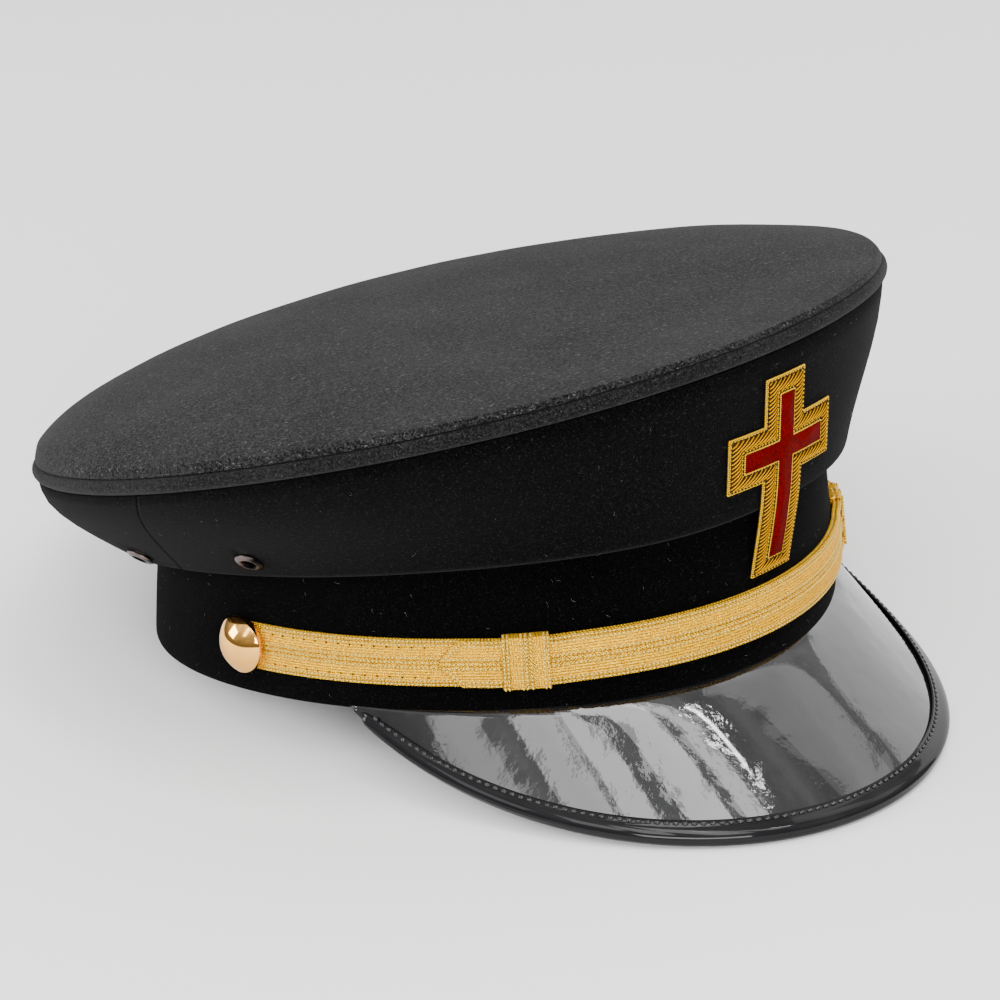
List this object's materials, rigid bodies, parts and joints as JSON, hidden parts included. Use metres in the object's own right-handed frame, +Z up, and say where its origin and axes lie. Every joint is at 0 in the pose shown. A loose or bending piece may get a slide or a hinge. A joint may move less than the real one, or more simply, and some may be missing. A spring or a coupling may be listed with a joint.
{
  "type": "fatigue cap",
  "caption": "Dark wool peaked cap with a flared round crown, glossy black visor, gold lace strap, gilt buttons and a padded gold and red cross on the front.",
  "frame": {"origin": "on the table, under the middle of the resting cap", "axes": "+Z up, the front of the cap looks along -Y, +X is the wearer's left"},
  "size_m": [0.2424, 0.2738, 0.1232],
  "materials": {
    "wool": "felted melton nap",
    "patent": "high gloss",
    "gold_lace": "metallic woven lace",
    "gilt": "polished",
    "eyelet_metal": "satin",
    "gold_bullion": "padded metal thread",
    "red_velvet": "short pile"
  },
  "bodies": {
    "root": {"crown_top": "wool", "crown_piping": "wool", "crown_side": "wool", "band": "wool", "visor": "patent", "visor_rim": "patent", "strap_right": "gold_lace", "strap_left": "gold_lace", "keeper_right": "gold_lace", "keeper_left": "gold_lace", "button_right": "gilt", "button_left": "gilt", "eyelet_right_front": "eyelet_metal", "eyelet_right_back": "eyelet_metal", "eyelet_left_front": "eyelet_metal", "eyelet_left_back": "eyelet_metal", "cross_border": "gold_bullion", "cross_field": "red_velvet"}
  },
  "joints": []
}
